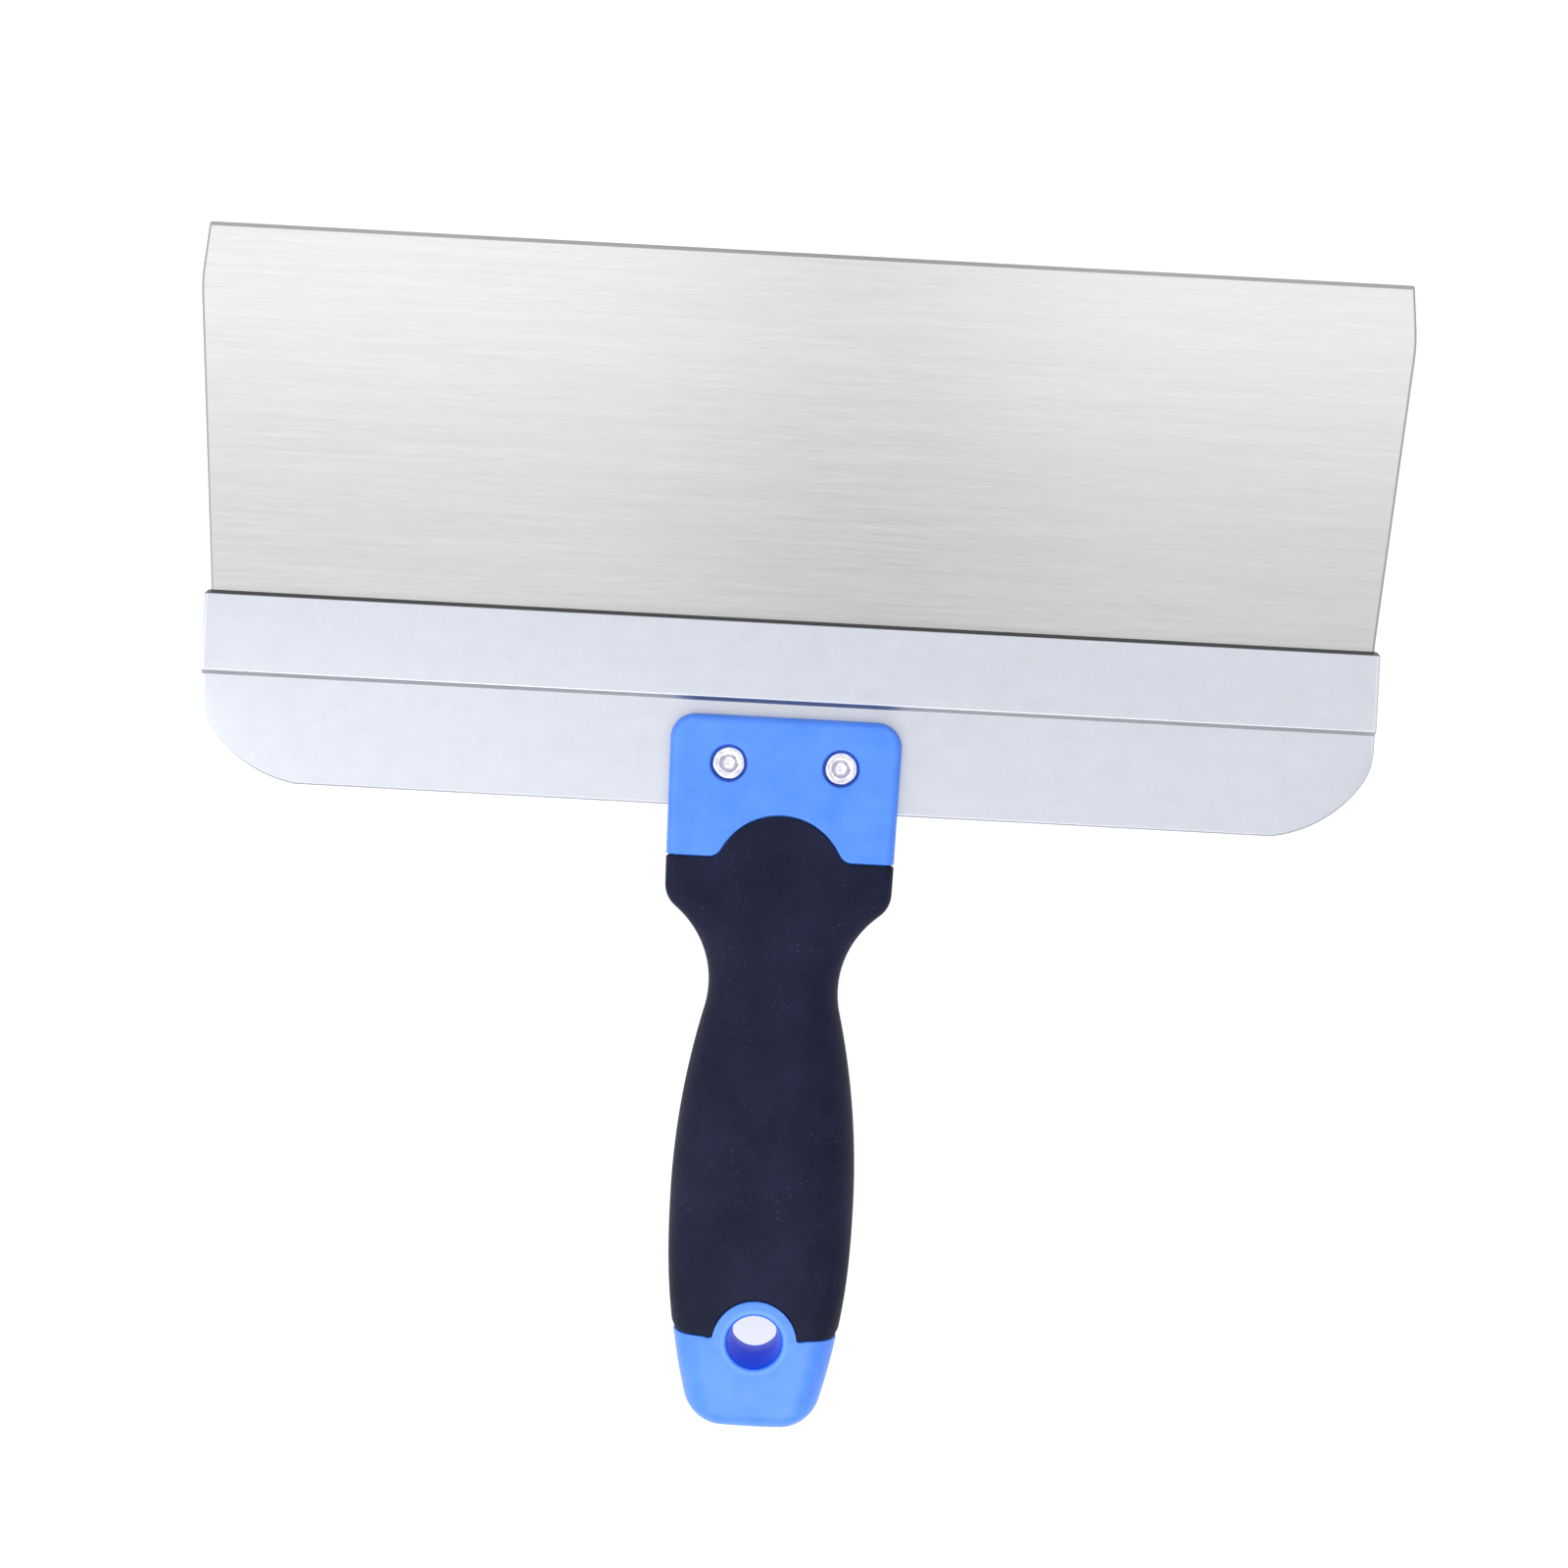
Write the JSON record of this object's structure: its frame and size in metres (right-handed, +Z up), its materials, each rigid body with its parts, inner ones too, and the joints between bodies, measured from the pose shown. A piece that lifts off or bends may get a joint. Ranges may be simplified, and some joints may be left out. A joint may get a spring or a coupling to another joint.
{
  "type": "taping knife",
  "caption": "Wide taping knife: flexible spring-steel blade in a metal backing rail, riveted to a hard handle core with a soft overmoulded grip and a hanging hole.",
  "frame": {"origin": "middle of the knife's footprint, at the height of the grip's lowest point", "axes": "+Y from the handle towards the working edge, +X along the working edge, +Z up, square to the blade's flat faces"},
  "size_m": [0.2522, 0.2424, 0.023],
  "materials": {
    "blade_steel": "fine lines along the working edge",
    "rail_aluminium": "satin anodised",
    "core_plastic": "bright blue, semi-gloss moulded",
    "soft_grip": "dark navy, matt with fine specks",
    "rivet_nickel": "bright nickel plate"
  },
  "bodies": {
    "handle": {"handle_core": "core_plastic", "grip_overmould": "soft_grip", "backing_rail": "rail_aluminium", "rivet_left": "rivet_nickel", "rivet_right": "rivet_nickel"},
    "blade": {"blade": "blade_steel"}
  },
  "joints": [
    {"name": "blade_flex", "type": "hinge", "parent": "handle", "child": "blade", "pos_m": [0, 0.04495, 0.0115], "axis": [1, 0, 0], "range_deg": [-15, 15], "stiffness_Nm_per_rad": 14.8, "deforming": ["blade"]}
  ]
}
